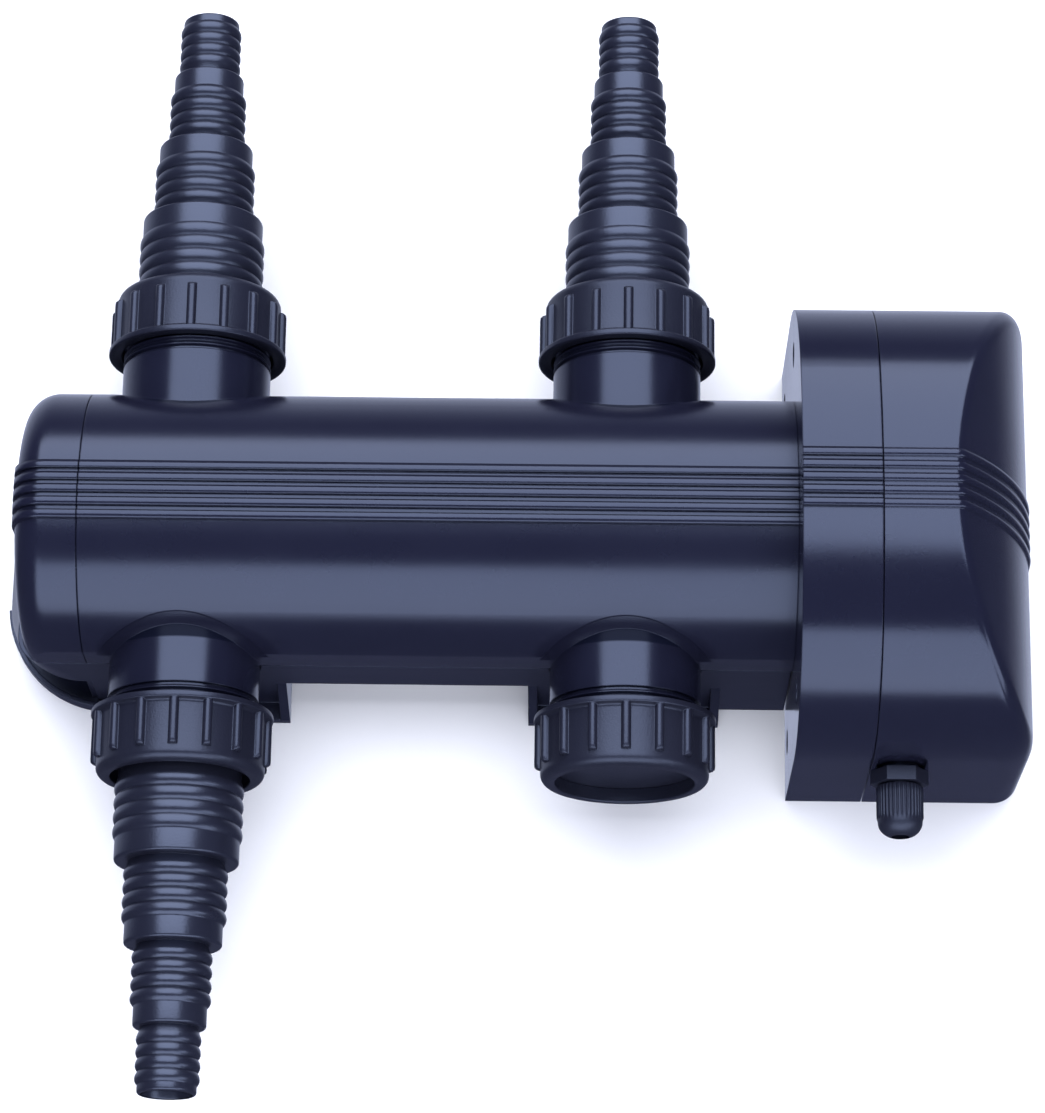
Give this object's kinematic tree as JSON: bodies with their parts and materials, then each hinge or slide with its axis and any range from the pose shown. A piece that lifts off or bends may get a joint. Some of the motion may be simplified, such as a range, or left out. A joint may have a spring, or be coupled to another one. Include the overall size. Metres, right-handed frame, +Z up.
{
  "type": "uv clarifier",
  "caption": "Pond UV clarifier: a flow tube with union ports and stepped hose tails, a quartz-sleeved UV lamp on its axis and an arched electrical head with a cable gland.",
  "frame": {"origin": "centre of the mounting screw pattern on the resting face, midway between the ports", "axes": "+X along the tube towards the electrical head, +Y out along the two back ports, +Z up from the resting face"},
  "size_m": [0.3321, 0.3624, 0.1094],
  "materials": {
    "housing_gloss": "glossy moulded, softly wavy highlights",
    "head_gloss": "glossy moulded, softly wavy highlights",
    "base_satin": "satin moulded",
    "union_satin": "satin with a fine moulded grain",
    "tail_satin": "satin with a fine moulded grain",
    "gland_matte": "matt black nylon",
    "seal_rubber": "matt black rubber",
    "quartz": "clear polished quartz",
    "lamp_glass": "clear lamp glass",
    "lamp_cap": "white satin plastic",
    "pin_brass": "bright brass",
    "inner_plastic": "dark satin plastic",
    "spacer_rubber": "translucent silicone",
    "bracket_steel": "brushed sheet",
    "screw_steel": "bright steel",
    "ballast_case": "off-white satin case",
    "terminal_plastic": "cream nylon",
    "lead_insulation": "blue wire insulation"
  },
  "bodies": {
    "housing": {"body_shell": "housing_gloss", "end_cap": "housing_gloss", "end_cap_seal": "seal_rubber", "mounting_base": "base_satin", "quartz_sleeve": "quartz", "sleeve_support": "inner_plastic", "sleeve_seal": "seal_rubber", "sleeve_nut": "inner_plastic", "lamp_glass": "lamp_glass", "lamp_base": "lamp_cap", "lamp_pins": "pin_brass", "lamp_spacer": "spacer_rubber", "lamp_holder": "lamp_cap", "holder_bracket": "bracket_steel", "head_base": "head_gloss", "cover_screws": "screw_steel", "port_gaskets": "seal_rubber"},
    "cover": {"head_cover": "head_gloss", "cover_seal": "seal_rubber", "ballast": "ballast_case", "ballast_screws": "screw_steel", "terminal_block": "terminal_plastic", "ballast_leads": "lead_insulation", "gland_body": "gland_matte", "gland_lock_nut": "gland_matte", "gland_seal": "seal_rubber"},
    "gland_cap": {"gland_dome_nut": "gland_matte"},
    "tail_back_left": {"tail_back_left": "tail_satin"},
    "nut_back_left": {"nut_back_left": "union_satin"},
    "tail_back_right": {"tail_back_right": "tail_satin"},
    "nut_back_right": {"nut_back_right": "union_satin"},
    "tail_front_left": {"tail_front_left": "tail_satin"},
    "nut_front_left": {"nut_front_left": "union_satin"},
    "blank_end": {"blank_plate": "tail_satin"},
    "nut_front_right": {"nut_front_right": "union_satin"}
  },
  "joints": [
    {"name": "cover_slide", "type": "slide", "parent": "housing", "child": "cover", "axis": [1, 0, 0], "range_m": [0, 0.06]},
    {"name": "gland_cap_turn", "type": "hinge", "parent": "cover", "child": "gland_cap", "pos_m": [0.157, -0.09, 0.038], "axis": [0, -1, 0], "range_deg": [0, 1800]},
    {"name": "tail_back_left_slide", "type": "slide", "parent": "housing", "child": "tail_back_left", "axis": [0, 1, 0], "range_m": [0, 0.0095]},
    {"name": "nut_back_left_turn", "type": "hinge", "parent": "tail_back_left", "child": "nut_back_left", "pos_m": [-0.07, 0.07, 0.045], "axis": [0, 1, 0], "range_deg": [0, 1440]},
    {"name": "tail_back_right_slide", "type": "slide", "parent": "housing", "child": "tail_back_right", "axis": [0, 1, 0], "range_m": [0, 0.0095]},
    {"name": "nut_back_right_turn", "type": "hinge", "parent": "tail_back_right", "child": "nut_back_right", "pos_m": [0.07, 0.07, 0.045], "axis": [0, 1, 0], "range_deg": [0, 1440]},
    {"name": "tail_front_left_slide", "type": "slide", "parent": "housing", "child": "tail_front_left", "axis": [0, -1, 0], "range_m": [0, 0.0095]},
    {"name": "nut_front_left_turn", "type": "hinge", "parent": "tail_front_left", "child": "nut_front_left", "pos_m": [-0.07, -0.07, 0.045], "axis": [0, -1, 0], "range_deg": [0, 1440]},
    {"name": "blank_end_slide", "type": "slide", "parent": "housing", "child": "blank_end", "axis": [0, -1, 0], "range_m": [0, 0.0095]},
    {"name": "nut_front_right_turn", "type": "hinge", "parent": "blank_end", "child": "nut_front_right", "pos_m": [0.07, -0.07, 0.045], "axis": [0, -1, 0], "range_deg": [0, 1440]}
  ],
  "couplings": [
    {"joint": "tail_back_left_slide", "follows": "nut_back_left_turn", "m_per_rad": 0.00036749},
    {"joint": "tail_back_right_slide", "follows": "nut_back_right_turn", "m_per_rad": 0.00036749},
    {"joint": "tail_front_left_slide", "follows": "nut_front_left_turn", "m_per_rad": 0.00036749},
    {"joint": "blank_end_slide", "follows": "nut_front_right_turn", "m_per_rad": 0.00036749}
  ]
}
